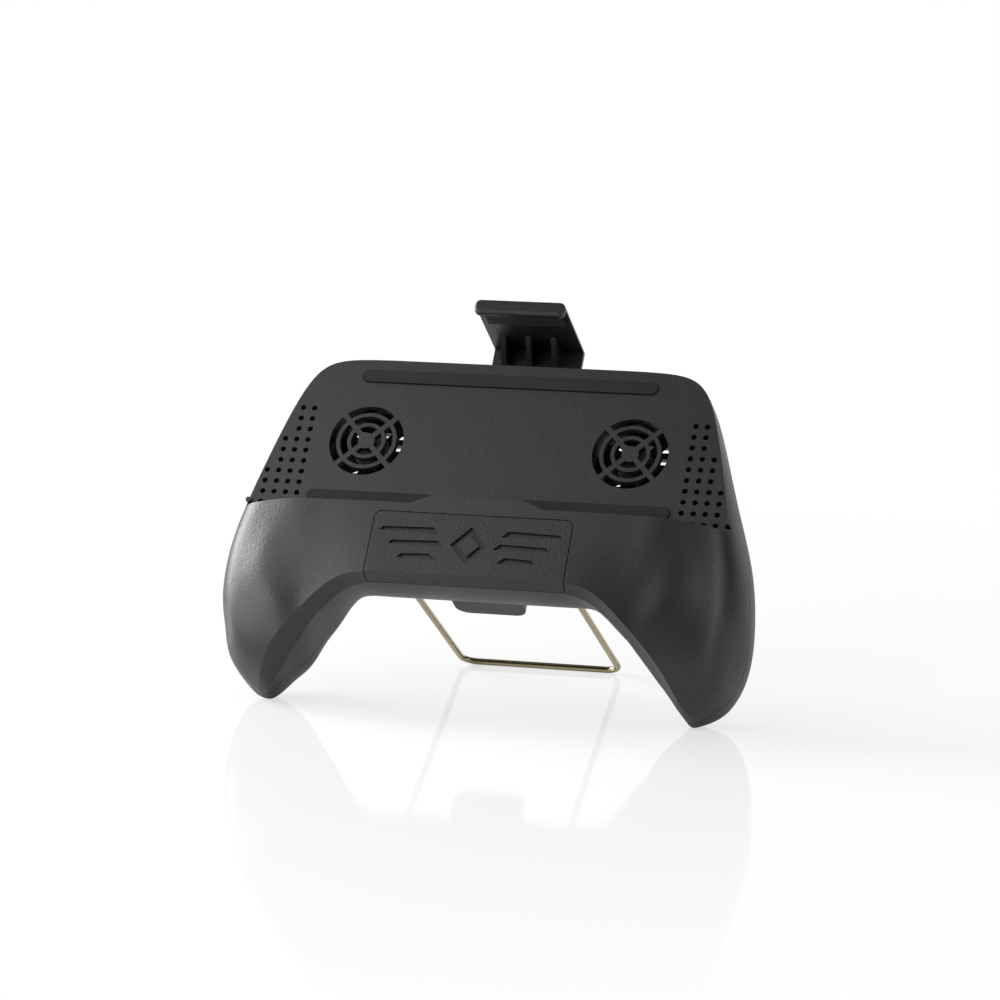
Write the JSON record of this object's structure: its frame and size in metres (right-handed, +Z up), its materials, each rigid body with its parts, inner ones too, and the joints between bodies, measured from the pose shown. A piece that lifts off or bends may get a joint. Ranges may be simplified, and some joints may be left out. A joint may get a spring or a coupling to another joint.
{
  "type": "handheld game grip",
  "caption": "Two-handled black game grip that clamps a flat device on a leaning, fan-cooled bed under a sprung hook, with a folding wire stand.",
  "frame": {"origin": "middle of the footprint on the surface that the handle tips and the stand's foot bar rest on", "axes": "+X to the right as seen by the player, +Y away from the player, +Z up; the bed leans back 35.8 degrees"},
  "size_m": [0.1626, 0.0902, 0.1194],
  "materials": {
    "shell_black": "fine satin moulded black plastic",
    "panel_black": "satin moulded black plastic with cut grooves",
    "arm_black": "satin moulded black plastic",
    "pad_rubber": "matt black rubber",
    "steel_wire": "bright nickel plated spring wire",
    "spring_steel": "plain spring wire",
    "screw_steel": "zinc plated steel",
    "fan_plastic": "matt black glass filled plastic",
    "rotor_plastic": "satin black plastic",
    "cell_wrap": "blue shrink wrap",
    "board_green": "green solder mask with black parts",
    "socket_steel": "bright drawn steel",
    "switch_plastic": "black plastic",
    "lamp_clear": "clear frosted light pipe"
  },
  "bodies": {
    "grip": {"front_shell": "shell_black", "rear_shell": "shell_black", "front_panel": "panel_black", "ledge_pad": "pad_rubber", "bed_pad_lower": "pad_rubber", "bed_pad_upper": "pad_rubber", "slide_cover": "arm_black", "battery_cell": "cell_wrap", "circuit_board": "board_green", "usb_socket": "socket_steel", "switch_housing": "switch_plastic", "status_light": "lamp_clear", "fan_frame_left": "fan_plastic", "fan_frame_right": "fan_plastic", "shell_screws": "screw_steel", "cover_screws": "screw_steel", "fan_screws": "screw_steel", "board_screws": "screw_steel", "clamp_spring_left": "spring_steel", "clamp_spring_right": "spring_steel"},
    "clamp": {"clamp_arm": "arm_black", "hook_pad": "pad_rubber", "spring_yoke": "arm_black", "yoke_screw": "screw_steel"},
    "stand": {"wire_stand": "steel_wire"},
    "fan_left": {"fan_rotor_left": "rotor_plastic"},
    "fan_right": {"fan_rotor_right": "rotor_plastic"},
    "switch": {"switch_knob": "switch_plastic"}
  },
  "joints": [
    {"name": "clamp_slide", "type": "slide", "parent": "grip", "child": "clamp", "axis": [0, 0.585, 0.8111], "range_m": [0, 0.018], "stiffness_N_per_m": 120, "springref_m": -0.02, "deforming": ["clamp_spring_left", "clamp_spring_right"]},
    {"name": "stand_hinge", "type": "hinge", "parent": "grip", "child": "stand", "pos_m": [0, -0.01658, 0.03692], "axis": [1, 0, 0], "range_deg": [0, 80.36]},
    {"name": "fan_left_spin", "type": "hinge", "parent": "grip", "child": "fan_left", "pos_m": [-0.041, 0.0004, 0.0714], "axis": [0, -0.8111, 0.585], "continuous": true},
    {"name": "fan_right_spin", "type": "hinge", "parent": "grip", "child": "fan_right", "pos_m": [0.041, 0.0004, 0.0714], "axis": [0, -0.8111, 0.585], "continuous": true},
    {"name": "switch_slide", "type": "slide", "parent": "grip", "child": "switch", "axis": [1, 0, 0], "range_m": [0, 0.002]}
  ]
}
